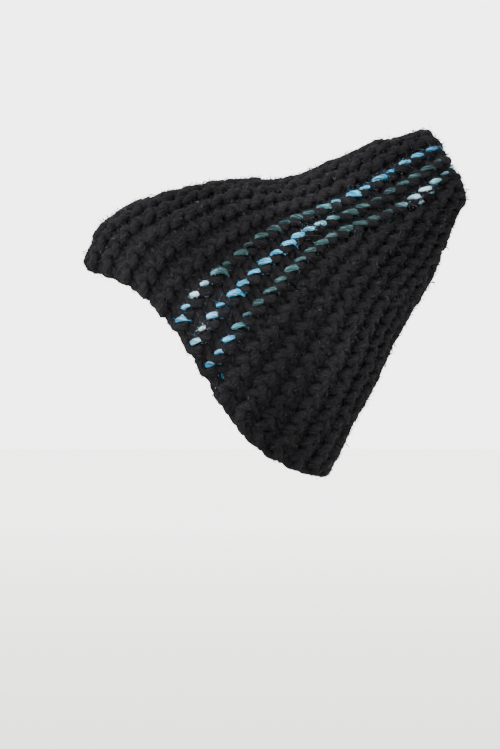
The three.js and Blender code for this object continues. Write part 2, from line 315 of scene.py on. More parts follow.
# %% The course of one row
def row_course(row, first, last, loop=BLACK_LOOP):
    """Stitch, place and height along the yarn of one row, between two counts of stitches."""
    steps = int(round((last - first) * POINTS_A_STITCH)) + 1
    stitch = np.linspace(first, last, steps)
    turn = stitch * 2 * np.pi
    feet_in_front = row % 2 == 0
    seed, scale, swing_more = UNEVEN["swing"]
    wobble = smooth_noise(stitch, seed + row, scale)
    along = stitch + (loop["swing"] + swing_more * wobble) * np.sin(2 * turn)
    along += uneven("along", stitch, row)
    reach_out = loop["reach"] * (1 + uneven("reach", stitch, row))
    square_wave = np.sign(np.cos(turn)) * np.abs(np.cos(turn)) ** FLATTER
    across = -reach_out * square_wave + loop["lean"] * np.sin(turn)
    place = row / 2 + 0.25 + across + uneven("place", stitch, row)
    facing = np.cos(turn) * (1 if feet_in_front else -1)
    front = ((1 + facing) / 2) ** loop["round"]
    front = front * front * (3 - 2 * front)
    height = -loop["back"] + (loop["face"] + loop["back"]) * front + FACE_WOBBLE_MM * wobble
    height += uneven("height", stitch, row)
    return along, place, MIDDLE_HEIGHT + height * MM


along, place, height = row_course(10, 0.0, STITCHES)
row_steps = np.diff(on_fabric(place, along, height), axis=0)
print("yarn in one stitch, mm:", round(np.linalg.norm(row_steps, axis=1).sum() / STITCHES / MM))

# %% [markdown]
# ## Strands of yarn
# Yarn could be curve objects with a bevel, but then there is no way to note where along the strand
# each point lies. So the strands are meshes: a small ring of points is carried along the course
# without twisting, and every point remembers its turn round the strand and its distance along it.
# The yarn materials use both for the plies.

# %% Frames along a strand
SIDES = 7
SLUB_SIDES = 12
SPUN_UNEVEN = 0.035


def carried_frames(points):
    """Two directions across a strand at every point, carried along it without twist."""
    tangent = np.gradient(points, axis=0)
    tangent /= np.linalg.norm(tangent, axis=1, keepdims=True) + 1e-15
    start = np.cross(tangent[0], (0.31, 0.52, 0.79))
    normal = start / np.linalg.norm(start)
    normals = np.empty_like(points)
    for i, t in enumerate(tangent):
        normal = normal - t * normal.dot(t)
        normal = normal / math.sqrt(normal.dot(normal))
        normals[i] = normal
    return normals, np.cross(tangent, normals)


print("sides of a strand:", SIDES, "and of a slub strand:", SLUB_SIDES)


# %% Collecting strands
class Strands:
    """Collects strands and fibres that become one mesh."""

    def __init__(self, sides, seed):
        self.sides = sides
        self.random = np.random.default_rng(seed)
        self.points, self.yarn, self.share = [], [], []
        self.quads, self.ends, self.triangles = [], [], []
        self.count = 0

    def keep(self, body, turn, run, share):
        """Keeps rows of points with the facts that the yarn's material reads."""
        facts = np.empty(body.shape)
        facts[..., 0] = np.cos(turn)
        facts[..., 1] = np.sin(turn)
        facts[..., 2] = run
        self.points.append(body.reshape(-1, 3))
        self.yarn.append(facts.reshape(-1, 3))
        self.share.append(np.repeat(share, body.shape[1]))
        first = self.count
        self.count += body.shape[0] * body.shape[1]
        return first


def lay_strand(strands, points, radius, share):
    """Adds a tube along points, a little uneven as spun yarn is, and closed at both ends."""
    n = len(points)
    one, two = carried_frames(points)
    turn = np.linspace(0, 2 * np.pi, strands.sides, endpoint=False)
    ring = np.cos(turn)[None, :, None] * one[:, None] + np.sin(turn)[None, :, None] * two[:, None]
    spun = 1 + SPUN_UNEVEN * strands.random.standard_normal((n, strands.sides))
    body = points[:, None] + ring * (radius[:, None] * spun)[..., None]
    length = np.r_[0, np.cumsum(np.linalg.norm(np.diff(points, axis=0), axis=1))]
    first = strands.keep(body, turn, (length / MM)[:, None], share)
    index = first + np.arange(n * strands.sides).reshape(n, strands.sides)
    beside = np.roll(index, -1, axis=1)
    quads = np.stack([index[:-1], beside[:-1], beside[1:], index[1:]], -1)
    strands.quads.append(quads.reshape(-1, 4))
    strands.ends.append(index[0][::-1])
    strands.ends.append(index[-1])


print("one strand of yarn has a point every", 360 // SIDES, "degrees round it")

# %% [markdown]
# ## Loose fibres
# Wool is fuzzy: short fibres leave the strand at a shallow angle, curl, and blur its outline. Thin
# curves would do, but the finished part is a mesh, so each fibre is a closed solid. A short one is
# a sliver of four triangles, bent in the middle. A long one is a spindle on a circular arc. There
# are more of them on the outside of the fabric, where they show.

# %% The bodies of the fibres
def sliver(along_fibre, across, thick):
    """Four points and four triangles for each fibre."""
    middle = along_fibre(0.5)
    wide = across * thick[:, None]
    body = [along_fibre(0.0), middle + wide, middle - wide, along_fibre(1.0)]
    return body, [(0, 2, 1), (3, 1, 2), (0, 1, 3), (0, 3, 2)]


def spindle(along_fibre, bend, across, thick, rings):
    """A pointed tube with three sides for each fibre."""
    body = [along_fibre(0.0)]
    for level in range(1, rings + 1):
        middle = along_fibre(level / (rings + 1))
        for a in (0, 2 * np.pi / 3, 4 * np.pi / 3):
            body.append(middle + (np.cos(a) * bend + np.sin(a) * across) * thick[:, None])
    body.append(along_fibre(1.0))
    last = len(body) - 1
    triangles = []
    for k in range(3):
        n = (k + 1) % 3
        triangles += [(0, 1 + n, 1 + k), (last, last - 3 + k, last - 3 + n)]
        for level in range(rings - 1):
            a, b = 1 + 3 * level, 4 + 3 * level
            triangles += [(a + k, a + n, b + n), (a + k, b + n, b + k)]
    return body, triangles


# fibres per mm of strand, their mean length and thickness in mm, how far they lift, stray and curl,
# and how many rings a spindle has, 0 for a sliver. Real fibres are 0.03 mm thick, too fine to show:
# these are fewer and coarser, and cover as much.
BLACK_FUZZ = {
    "per_mm": 4.4, "long": 3.4, "thick": 0.21, "lift": 1.2, "stray": 0.7, "curl": 0.8, "rings": 0,
}
BLACK_STRAYS = {
    "per_mm": 0.75, "long": 4.8, "thick": 0.19, "lift": 1.3, "stray": 0.7, "curl": 1.9, "rings": 2,
}
SLUB_FUZZ = {
    "per_mm": 6.0, "long": 1.7, "thick": 0.11, "lift": 0.5, "stray": 0.2, "curl": 1.0, "rings": 0,
}
# places: where along the stripe the slub is fuzzy, as shares of its length, and how much
SLUB_HALO = {
    "per_mm": 2.6, "long": 6.5, "thick": 0.04, "lift": 1.0, "stray": 0.6, "curl": 3.0, "rings": 5,
    "places": ((0, 0.08, 0.15, 0.25, 0.45, 0.55, 0.88, 1), (0.2, 1, 1, 0.4, 0.2, 1, 1, 0.2)),
}
print("black fibres a mm:", BLACK_FUZZ["per_mm"] + BLACK_STRAYS["per_mm"])

# %% Laying the fibres
ROOT_DEPTH = 0.95
LEAST_FUZZY = 0.12
FUZZY_AT_MIDDLE = 0.45
FUZZY_RISE = 5 * MM
LONGEST = 1.9
LENGTH_SHAPE = 4.5


def lay_fibres(strands, points, radius, share, heights, kind):
    """Adds loose fibres along a strand, at seeded places."""
    pick = strands.random
    steps = np.linalg.norm(np.diff(points, axis=0), axis=1)
    fuzzy = FUZZY_AT_MIDDLE + (heights[:-1] - MIDDLE_HEIGHT) / FUZZY_RISE
    weight = steps * np.clip(fuzzy, LEAST_FUZZY, 1)
    if "places" in kind:
        weight = weight * np.interp(share[:-1], *kind["places"])
    count = int(weight.sum() / MM * kind["per_mm"])
    at = np.sort(pick.choice(len(weight), count, p=weight / weight.sum()))
    one, two = carried_frames(points)
    tangent = np.cross(one, two)
    turn = pick.uniform(0, 2 * np.pi, count)
    radial = np.cos(turn)[:, None] * one[at] + np.sin(turn)[:, None] * two[at]
    beside = np.cross(tangent[at], radial)
    way = pick.choice([-1.0, 1.0], count)[:, None]
    mean = kind["long"]
    length = pick.gamma(LENGTH_SHAPE, mean / LENGTH_SHAPE, count)
    length = np.minimum(length, LONGEST * mean)[:, None] * MM
    lift = pick.beta(1.3, 3.0, count)[:, None] * kind["lift"]
    start = points[at] + radial * (radius[at] * ROOT_DEPTH)[:, None]
    stray = pick.normal(0, kind["stray"], count)[:, None]
    run = way * tangent[at] + lift * radial + stray * beside
    run /= np.linalg.norm(run, axis=1, keepdims=True)
    bend = np.cross(run, pick.normal(0, 1, (count, 3)))
    bend /= np.linalg.norm(bend, axis=1, keepdims=True)
    total = np.abs(pick.normal(0, kind["curl"], count))[:, None] + 0.05
    thick = pick.uniform(0.7, 1.3, count) * kind["thick"] * MM / 2
    across = np.cross(run, bend)
    across /= np.linalg.norm(across, axis=1, keepdims=True)

    def along_fibre(u):
        arc = np.sin(u * total) * run + (1 - np.cos(u * total)) * bend
        return start + length / total * arc

    if kind["rings"]:
        body, triangles = spindle(along_fibre, bend, across, thick, kind["rings"])
    else:
        body, triangles = sliver(along_fibre, across, thick)
    own_place = pick.uniform(0, 900, count)
    first = strands.keep(np.stack(body, 1), turn[:, None], own_place[:, None], share[at])
    base = first + len(body) * np.arange(count)[:, None, None]
    strands.triangles.append((base + np.array(triangles)).reshape(-1, 3))


print("longest black fibre, mm:", round(LONGEST * BLACK_STRAYS["long"], 1))

# %% [markdown]
# ## From strands to a mesh
# Hundreds of thousands of faces made one by one in Python would take minutes. `foreach_set` hands
# whole arrays to Blender, so each piece takes a moment. What each point remembers goes along as
# two attributes, which the materials read.

# %% The mesh of a piece
def knitted_object(strands, name, material):
    """Makes one object of all the strands and fibres collected."""
    mesh = bpy.data.meshes.new(name)
    points = np.vstack(strands.points)
    quads = np.vstack(strands.quads)
    ends = np.array(strands.ends)
    fibres = np.vstack(strands.triangles)
    corners = np.r_[quads.ravel(), ends.ravel(), fibres.ravel()].astype(np.int32)
    counts = (len(quads), len(ends), len(fibres))
    sizes = np.repeat((4, strands.sides, 3), counts).astype(np.int32)
    starts = np.r_[0, np.cumsum(sizes)[:-1]].astype(np.int32)
    mesh.vertices.add(len(points))
    mesh.vertices.foreach_set("co", points.astype(np.float32).ravel())
    mesh.loops.add(len(corners))
    mesh.loops.foreach_set("vertex_index", corners)
    mesh.polygons.add(len(sizes))
    mesh.polygons.foreach_set("loop_start", starts)
    mesh.polygons.foreach_set("loop_total", sizes)
    mesh.polygons.foreach_set("use_smooth", np.ones(len(sizes), bool))
    facts = mesh.attributes.new("yarn", "FLOAT_VECTOR", "POINT")
    facts.data.foreach_set("vector", np.vstack(strands.yarn).astype(np.float32).ravel())
    share = mesh.attributes.new("share", "FLOAT", "POINT")
    share.data.foreach_set("value", np.concatenate(strands.share).astype(np.float32))
    mesh.update()
    mesh.validate()
    mesh.materials.append(material)
    thing = bpy.data.objects.new(name, mesh)
    bpy.context.scene.collection.objects.link(thing)
    triangles = 2 * len(quads) + (strands.sides - 2) * len(ends) + len(fibres)
    print(name, "-", triangles, "triangles")
    return thing


print("kept for every point: its turn round the strand, mm along it, and share of the stripe")

# %% [markdown]
# ## Materials
# Both yarns are spun wool and acrylic, matte and fuzzy. A yarn's look comes from three scales: the
# twist of its plies, the fibres that lie along the twist, and the loose ones that stand off it. The
# colours are dyed in the fibre, so they vary from strand to strand.

# %% Helpers for materials
def linear(code):
    """An sRGB hex colour as linear red, green, blue and 1."""
    parts = [int(code[i:i + 2], 16) / 255 for i in (1, 3, 5)]
    return [v / 12.92 if v <= 0.04045 else ((v + 0.055) / 1.055) ** 2.4 for v in parts] + [1.0]


def add(owner, kind, settings=None, links=None):
    """Adds a node, sets its properties and sockets, and links other sockets into it."""
    tree = owner.node_tree
    node = tree.nodes.new(kind)
    for key, value in (settings or {}).items():
        if isinstance(key, str) and hasattr(node, key):
            setattr(node, key, value)
        else:
            node.inputs[key].default_value = value
    for key, socket in (links or {}).items():
        tree.links.new(socket, node.inputs[key])
    return node


def new_material(name):
    """An empty node material."""
    material = bpy.data.materials.new(name)
    material.use_nodes = True
    material.node_tree.nodes.clear()
    return material


print("middle grey in linear light:", round(linear("#808080")[0], 3))

# %% [markdown]
# The twist is drawn from the two facts that each point carries. The turn round the strand less the
# distance along it is constant along a ply, so a sine of it gives the plies. The same angle goes
# round a circle in a noise that is stretched along the strand, and gives fibres that follow them.
# Real fibres are 0.03 mm thick, much finer than a pixel of the picture. So that they show at all,
# these streaks are drawn about 1 mm wide and 5 mm long, and break up into finer ones.

# %% Plies and fibres
# the noise is looked up on a circle of radius 1, so a cell of it is 1 / 2.4 of a strand's 2.75 mm
FIBRE_SCALE = 2.4
# and this much of its units for a mm of yarn makes a cell 1 / (2.4 * 0.08) = 5.2 mm long
FIBRE_STRETCH = 0.08


def ply_pattern(material, plies, pitch_mm):
    """Height of the plies and of the fibres round a strand."""
    facts = add(material, "ShaderNodeAttribute", {"attribute_name": "yarn"})
    parts = add(material, "ShaderNodeSeparateXYZ", links={0: facts.outputs["Vector"]})
    turn = add(material, "ShaderNodeMath", {"operation": "ARCTAN2"},
               {0: parts.outputs[1], 1: parts.outputs[0]})
    run = add(material, "ShaderNodeMath", {"operation": "MULTIPLY", 1: 2 * math.pi / pitch_mm},
              {0: parts.outputs[2]})
    angle = add(material, "ShaderNodeMath", {"operation": "SUBTRACT"},
                {0: turn.outputs[0], 1: run.outputs[0]})
    many = add(material, "ShaderNodeMath", {"operation": "MULTIPLY", 1: plies / 2},
               {0: angle.outputs[0]})
    wave = add(material, "ShaderNodeMath", {"operation": "SINE"}, {0: many.outputs[0]})
    ply = add(material, "ShaderNodeMath", {"operation": "ABSOLUTE"}, {0: wave.outputs[0]})
    cosine = add(material, "ShaderNodeMath", {"operation": "COSINE"}, {0: angle.outputs[0]})
    sine = add(material, "ShaderNodeMath", {"operation": "SINE"}, {0: angle.outputs[0]})
    slow = add(material, "ShaderNodeMath", {"operation": "MULTIPLY", 1: FIBRE_STRETCH},
               {0: parts.outputs[2]})
    place = add(material, "ShaderNodeCombineXYZ",
                links={0: cosine.outputs[0], 1: sine.outputs[0], 2: slow.outputs[0]})
    fibres = add(material, "ShaderNodeTexNoise",
                 {"Scale": FIBRE_SCALE, "Detail": 4.0, "Roughness": 0.7},
                 {"Vector": place.outputs[0]})
    return ply.outputs[0], fibres.outputs[0]


print("one streak runs over about", round(1 / (FIBRE_SCALE * FIBRE_STRETCH), 1), "mm of yarn")

# %% [markdown]
# Wool scatters light many times between its fibres, so its roughness is near 1 and its gloss low.
# The index of refraction is about 1.55 for wool and 1.5 for acrylic. A thin sheen stands for the
# down that is too fine to build.

# %% A matte, fuzzy finish
YARN_IOR = 1.5
YARN_ROUGHNESS = 0.9
SHEEN_ROUGHNESS = 0.45


def finish_yarn(material, colour, ply, fibres, depths, gloss, sheen, sheen_tint):
    """Bump from plies and fibres, of two depths, and a matte shader with a soft halo."""
    twisted = add(material, "ShaderNodeBump", {"Strength": 1.0, "Distance": depths[0]},
                  {"Height": ply})
    streaked = add(material, "ShaderNodeBump", {"Strength": 1.0, "Distance": depths[1]},
                   {"Height": fibres, "Normal": twisted.outputs[0]})
    shader = add(
        material, "ShaderNodeBsdfPrincipled",
        {
            "Roughness": YARN_ROUGHNESS,
            "IOR": YARN_IOR,
            "Specular IOR Level": gloss,
            "Sheen Weight": sheen,
            "Sheen Roughness": SHEEN_ROUGHNESS,
            "Sheen Tint": linear(sheen_tint),
        },
        {"Base Color": colour, "Normal": streaked.outputs[0]},
    )
    add(material, "ShaderNodeOutputMaterial", links={0: shader.outputs[0]})


print("yarn roughness:", YARN_ROUGHNESS, "index of refraction:", YARN_IOR)

# %% [markdown]
# ### Black wool and acrylic, spun and plied
# Three singles are spun, then twisted round each other the other way, one turn in 17 mm. A dyed
# black is never one colour: some fibres take less dye, at random. Loose down catches more light
# than the strand, and that light is painted: loose fibres are coloured paler, a painted sheen, and
# as more of them stand on the crests, the tops of the loops look greyer than the valleys. `share`
# says how pale each strand is: its random tone, and for its loose fibres a painted sheen on top.

# %% Black yarn
BLACK_DEEP = "#060607"
BLACK_WORN = "#1c1b1d"
BLACK_DOWN_PAINTED_SHEEN = "#383639"
BLACK_PLIES = 3
BLACK_PITCH_MM = 17.0


def black_yarn():
    """The plied black of most of the hood."""
    material = new_material("black_wool_acrylic_plied")
    ply, fibres = ply_pattern(material, BLACK_PLIES, BLACK_PITCH_MM)
    share = add(material, "ShaderNodeAttribute", {"attribute_name": "share"})
    # fibre noise over the ramp, plus the share: random tone, and painted sheen on loose fibres
    streaks = add(material, "ShaderNodeMath", {"operation": "MULTIPLY_ADD", 1: 1.3, 2: -0.35},
                  {0: fibres})
    paler = add(material, "ShaderNodeMath", {"operation": "MULTIPLY_ADD", 1: 0.35},
                {0: share.outputs["Fac"], 2: streaks.outputs[0]})
    colour = add(material, "ShaderNodeValToRGB", links={0: paler.outputs[0]})
    ramp = colour.color_ramp.elements
    ramp[0].position = 0.2
    ramp[0].color = linear(BLACK_DEEP)
    ramp[1].position = 0.65
    ramp[1].color = linear(BLACK_WORN)
    # the palest black, reached mostly by the loose fibres: painted sheen
    ramp.new(1.0).color = linear(BLACK_DOWN_PAINTED_SHEEN)
    finish_yarn(material, colour.outputs[0], ply, fibres, (0.3 * MM, 1.7 * MM),
                gloss=0.03, sheen=0.01, sheen_tint="#8c8c92")
    return material


BLACK = black_yarn()
print("material:", BLACK.name)

# %% [markdown]
# ### Slub yarn, thick-thin and space-dyed
# This yarn is spun unevenly on purpose, from two soft strands with hardly any twist, one turn in
# 26 mm. It is dyed in stretches of sky blue, dark teal and undyed white. Each stripe shows another
# stretch of it, so each has its own short list of colours from the rim to the peak.

# %% Colours of the slub
SKY = "#0c7ca4"
DEEP_SKY = "#0a597c"
SEA = "#2b626c"
PALE = "#5a94a8"
UNDYED = "#a9c0cf"
UNDYED_FIBRE = "#b8dde8"
TEAL = "#203b3c"
DARK_TEAL = "#142628"

STRIPE_COLOURS = {
    "slub_stripe_front": [
        (0.0, DEEP_SKY), (0.07, SKY), (0.10, PALE), (0.14, UNDYED), (0.18, PALE), (0.22, TEAL),
        (0.43, DARK_TEAL), (0.57, TEAL), (0.63, SEA), (0.68, SKY), (0.86, SKY), (0.93, DEEP_SKY),
    ],
    "slub_stripe_middle": [
        (0.0, DEEP_SKY), (0.04, PALE), (0.09, UNDYED), (0.13, SKY), (0.5, SKY), (0.54, PALE),
        (0.58, SEA), (0.62, TEAL), (0.7, TEAL), (0.75, DARK_TEAL), (0.83, TEAL),
        (0.92, DARK_TEAL),
    ],
    "slub_stripe_back": [
        (0.0, DEEP_SKY), (0.05, DEEP_SKY), (0.09, SKY), (0.13, SKY), (0.17, SEA), (0.21, TEAL),
        (0.66, TEAL), (0.71, DARK_TEAL), (0.77, DARK_TEAL), (0.8, PALE), (0.86, UNDYED),
        (0.89, PALE), (0.93, TEAL), (1.0, PALE),
    ],
}
print("stretches of colour:", {name: len(stops) for name, stops in STRIPE_COLOURS.items()})

# %% [markdown]
# Dye soaks into some fibres more than others. So the dye is darker and lighter in streaks along
# the strand and in patches a centimetre long, and undyed fibres run through its paler stretches.

# %% Slub materials
SLUB_PLIES = 2
SLUB_PITCH_MM = 26.0
# one patch in 11 mm of yarn
PATCH_SCALE = 0.09


def slub_yarn(name, stops):
    """The space-dyed slub of one stripe."""
    material = new_material("slub_wool_" + name)
    ply, fibres = ply_pattern(material, SLUB_PLIES, SLUB_PITCH_MM)
    share = add(material, "ShaderNodeAttribute", {"attribute_name": "share"})
    ramp = add(material, "ShaderNodeValToRGB", links={0: share.outputs["Fac"]})
    while len(ramp.color_ramp.elements) < len(stops):
        ramp.color_ramp.elements.new(0.5)
    for element, (position, code) in zip(ramp.color_ramp.elements, stops):
        element.position = position
        element.color = linear(code)
    facts = add(material, "ShaderNodeAttribute", {"attribute_name": "yarn"})
    parts = add(material, "ShaderNodeSeparateXYZ", links={0: facts.outputs["Vector"]})
    patches = add(material, "ShaderNodeTexNoise",
                  {"noise_dimensions": "1D", "Scale": PATCH_SCALE, "Detail": 2.0},
                  {"W": parts.outputs[2]})
    # more and less dye, in streaks and in patches
    shade = add(material, "ShaderNodeMapRange",
                {"From Min": 0.3, "From Max": 0.7, "To Min": 0.5, "To Max": 1.25}, {0: fibres})
    patch = add(material, "ShaderNodeMapRange",
                {"From Min": 0.3, "From Max": 0.7, "To Min": 0.5, "To Max": 1.3},
                {0: patches.outputs[0]})
    both = add(material, "ShaderNodeMath", {"operation": "MULTIPLY"},
               {0: shade.outputs[0], 1: patch.outputs[0]})
    dyed = add(material, "ShaderNodeMix",
               {"data_type": "RGBA", "blend_type": "MULTIPLY", 0: 1.0},
               {6: ramp.outputs[0], 7: both.outputs[0]})
    # undyed fibres, hardly any in the dark stretches and many in the pale ones
    bright = add(material, "ShaderNodeRGBToBW", links={0: ramp.outputs[0]})
    undyed = add(material, "ShaderNodeMapRange",
                 {"From Min": 0.0, "From Max": 0.2, "To Min": 0.04, "To Max": 0.6},
                 {0: bright.outputs[0]})
    streaks = add(material, "ShaderNodeMapRange",
                  {"From Min": 0.48, "From Max": 0.66, "To Min": 0.0, "To Max": 1.0}, {0: fibres})
    amount = add(material, "ShaderNodeMath", {"operation": "MULTIPLY"},
                 {0: undyed.outputs[0], 1: streaks.outputs[0]})
    mixed = add(material, "ShaderNodeMix",
                {"data_type": "RGBA", "blend_type": "MIX", 7: linear(UNDYED_FIBRE)},
                {0: amount.outputs[0], 6: dyed.outputs[2]})
    finish_yarn(material, mixed.outputs[2], ply, fibres, (0.5 * MM, 0.8 * MM),
                gloss=0.08, sheen=0.02, sheen_tint="#dbe9ef")
    return material


SLUBS = {name: slub_yarn(name, stops) for name, stops in STRIPE_COLOURS.items()}
print("materials:", *(m.name for m in SLUBS.values()))

# %% [markdown]
# ## Knitting the rows
# The yarn goes up one row to the peak and down the next, so at the rim two rows of a ridge hang
# together by a turning loop. Those loops are the small bumps along the selvedge. A short ridge ends
# where its neighbours close over it.

# %% Rows and turning loops
FIRST_TURN = 0.19
LAST_STITCH = STITCHES + PEAK_STITCHES - 0.35
LOOP_POINTS = 8
LOOP_PULL = np.array([-0.75, 0.0, 0.0])


def row_end(row):
    """Stitches from the rim to the end of a row."""
    ridge = ((row + 1) // 2) % RIDGES
    if ridge in RIDGE_REACH:
        return RIDGE_REACH[ridge] * STITCHES
    return LAST_STITCH


def turning_loop(start, end):
    """Points of a smooth curve that leaves the start towards the rim and comes back to the end."""
    t = np.linspace(0, 1, LOOP_POINTS + 2)[1:-1, None]
    start_slope, end_slope = LOOP_PULL, -LOOP_PULL
    return ((2 * t**3 - 3 * t**2 + 1) * start + (t**3 - 2 * t**2 + t) * start_slope
            + (-2 * t**3 + 3 * t**2) * end + (t**3 - t**2) * end_slope)


def pair_course(ridge):
    """Stitch, place and height along the two rows of a ridge and the turning loop between them."""
    down = row_course(2 * ridge - 1, FIRST_TURN, row_end(2 * ridge - 1))
    up = row_course(2 * ridge, FIRST_TURN, row_end(2 * ridge))
    down = np.stack(down, 1)[::-1]
    up = np.stack(up, 1)
    return np.vstack([down, turning_loop(down[-1], up[0]), up])


def hooked(course):
    """Starts a single row with a turning loop whose other end is darned in under the rim."""
    hidden = course[0] + np.array([0.2, 0.5, -2.5 * MM])
    return np.vstack([hidden, turning_loop(hidden, course[0]), course])


print("points in the course of one ridge:", len(pair_course(5)))

# %% [markdown]
# Near the rim, below the stripes, a few stitches are loose and leave small holes. The yarn round
# each hole is pushed away from its middle. The thickness follows the fabric too: where stitches are
# long or ridges broad the wool blooms and fills the room, and at the peak it is squeezed.

# %% Loose stitches and the thickness of the yarn
LOOSE_STITCHES = (
    # place among the ridges, stitches from the rim, size of the hole in mm
    (2.5, 0.9, 3.4),
    (3.5, 0.9, 2.4),
    (4.45, 1.25, 2.6),
    (4.5, 0.6, 2.2),
    (5.25, 1.0, 2.4),
    (6.0, 0.95, 1.6),
)
STITCH_MM = 10.5
RIDGE_MM = 18.5
HOLE_SPREAD_MM = 7.5
CLOSE_STITCH = 10.3 * MM
BROAD_RIDGE_MM = 16
LEAST_FULL = 0.95
MOST_FULL = 1.22
BLOOM_OVER_MM = 3.5
RIDGE_BLOOM = 0.17
PEAK_SQUEEZE = 0.3
SINK_STITCHES = 1.5
SINK_DEPTH = 2.5 * MM


def spread_for_holes(along, place):
    """Moves yarn away from the middle of each loose stitch, in stitches and places."""
    for hole_place, hole_stitch, size in LOOSE_STITCHES:
        dx = (along - hole_stitch) * STITCH_MM
        dy = (place - hole_place) * RIDGE_MM
        away = np.sqrt(dx**2 + dy**2) + 0.3
        push = size * np.exp(-((away / HOLE_SPREAD_MM) ** 2))
        along = along + dx / away * push / STITCH_MM
        place = place + dy / away * push / RIDGE_MM
    return along, place


def yarn_radius(along, place, row):
    """Radius along a strand: fuller where the stitches are long or broad, thinner at the peak."""
    zero = np.zeros_like(along)
    inside = np.clip(along, 0.5, STITCHES - 0.5)
    step = on_fabric(place, inside + 0.5, zero) - on_fabric(place, inside - 0.5, zero)
    ridge = on_fabric(place + 0.5, inside, zero) - on_fabric(place - 0.5, inside, zero)
    fuller = np.clip(np.linalg.norm(step, axis=1) / CLOSE_STITCH, LEAST_FULL, MOST_FULL)
    ridge_mm = np.linalg.norm(ridge, axis=1) / MM
    fuller *= 1 + RIDGE_BLOOM * np.clip((ridge_mm - BROAD_RIDGE_MM) / BLOOM_OVER_MM, 0, 1)
    plain = YARN_RADIUS * fuller * (1 + uneven("girth", along, row))
    drawn_in = np.clip((along - STITCHES) / PEAK_STITCHES, 0, 1)
    return plain * (1 - PEAK_SQUEEZE * drawn_in)


def sink_short_ends(along, height, end):
    """Lets the last stitch of a short ridge sink under its neighbours."""
    left = np.clip((end - along) / SINK_STITCHES, 0, 1)
    return height - (1 - left) ** 2 * SINK_DEPTH


print("loose stitches:", len(LOOSE_STITCHES))

# %% [markdown]
# ## The black fabric
# The black fabric is more than a thousand stitches, so it is made as four pieces that share the
# same rows: behind the stripes, round the nape, the far side and the forehead.

# %% Four pieces of black knitting
# loose fibres are coloured paler than their strand by these amounts: painted sheen
FUZZ_PAINTED_SHEEN = 0.7
STRAYS_PAINTED_SHEEN = 0.9


def knit(strands, course, row):
    """Adds a black row, or a pair of rows, and its loose fibres."""
    along, place, height = course.T
    along, place = spread_for_holes(along, place)
    height = sink_short_ends(along, height, row_end(row))
    points = on_fabric(place, along, height)
    radius = yarn_radius(along, place, row)
    tone = 0.5 + uneven("tone", along, row)
    lay_strand(strands, points, radius, tone)
    # loose fibres take their strand's tone made paler, a painted sheen
    lay_fibres(strands, points, radius, tone + FUZZ_PAINTED_SHEEN, height, BLACK_FUZZ)
    lay_fibres(strands, points, radius, tone + STRAYS_PAINTED_SHEEN, height, BLACK_STRAYS)


BLACK_PARTS = {
    "knit_left_back": range(4, 11),
    "knit_nape": range(11, 18),
    "knit_far_side": range(18, 25),
    "knit_forehead": range(25, 32),
}
pieces = {}
for name, ridges in BLACK_PARTS.items():
    strands = Strands(SIDES, len(pieces))
    for ridge in ridges:
        knit(strands, pair_course(ridge), 2 * ridge)
    pieces[name] = knitted_object(strands, name, BLACK)

# %% [markdown]
# ## The stripes
# The slub rows are single rows, so each starts with a tucked-in end at the rim. Their feet stand
# out on the outside as grains, and their legs and heads lie deeper, on the inside. The slub is full
# where a grain shows, thin where it dives between the black loops, and full again on the inside.

# %% Slub rows
SLUB_ROWS = {0: "slub_stripe_front", 2: "slub_stripe_middle", 4: "slub_stripe_back"}
SLUB_RADIUS = 1.8 * MM
SLUB_START = 0.42
SLUB_SHAPE = ((0, 0.02, 0.1, 0.4, 0.7, 1), (0.85, 0.7, 0.25, 0.36, 0.7, 1))
SLUB_SEED = 40
TUCKED_SHARE = 0.35
TUCKED_STITCHES = 0.3
THINNING_STARTS = 0.6
THINNER_AT_PEAK = 0.2
THINNER_PAST_PEAK = 0.4


def tucked(along, first):
    """Thins the start of a single row, whose end is darned in at the rim."""
    return np.clip(TUCKED_SHARE + (along - first) / TUCKED_STITCHES, TUCKED_SHARE, 1)


def slub_radius(height, along, row):
    """Thick and thin places of the slub, thickest where a grain shows."""
    deep = MIDDLE_HEIGHT / MM - SLUB_LOOP["back"]
    grain = np.clip((height / MM - deep) / (SLUB_LOOP["face"] + SLUB_LOOP["back"]), 0, 1)
    thinning = THINNING_STARTS * STITCHES
    drawn_in = np.clip((along - thinning) / (STITCHES - thinning), 0, 1)
    over_peak = np.clip(along - STITCHES + 0.3, 0, 1)
    shape = np.interp(grain, *SLUB_SHAPE)
    drawn = (1 - THINNER_AT_PEAK * drawn_in) * (1 - THINNER_PAST_PEAK * over_peak)
    slubs = 1 + uneven("slubs", along, row)
    return SLUB_RADIUS * shape * slubs * drawn * tucked(along, along[0])


for row, name in SLUB_ROWS.items():
    strands = Strands(SLUB_SIDES, SLUB_SEED + row)
    along, place, height = row_course(row, SLUB_START, LAST_STITCH, SLUB_LOOP)
    points = on_fabric(place, along, height)
    radius = slub_radius(height, along, row)
    share = along / (STITCHES + 1.0)
    lay_strand(strands, points, radius, share)
    lay_fibres(strands, points, radius, share, height, SLUB_FUZZ)
    lay_fibres(strands, points, radius, share, height, SLUB_HALO)
    pieces[name] = knitted_object(strands, name, SLUBS[name])

# %% [markdown]
# Between the slub rows lies one black row each, and on both outer sides a black row keeps them
# company. The two between the stripes and the one in front of them are pulled down by the tight
# slub, so they use the lower loop; the one behind them is the first row of the ridge behind the
# stripes.

# %% Black rows between and beside the stripes
COURSE_ROWS = {"black_course_front": 1, "black_course_back": 3, "knit_beside_stripes": -1}
COURSE_SEED = 50
RIDGE_BEHIND_STRIPES = 3

for name, row in COURSE_ROWS.items():
    strands = Strands(SIDES, COURSE_SEED + row)
    course = row_course(row, FIRST_TURN, row_end(row), BESIDE_SLUB)
    knit(strands, hooked(np.stack(course, 1)), row)
    if name == "knit_beside_stripes":
        knit(strands, pair_course(RIDGE_BEHIND_STRIPES), 2 * RIDGE_BEHIND_STRIPES)
    pieces[name] = knitted_object(strands, name, BLACK)
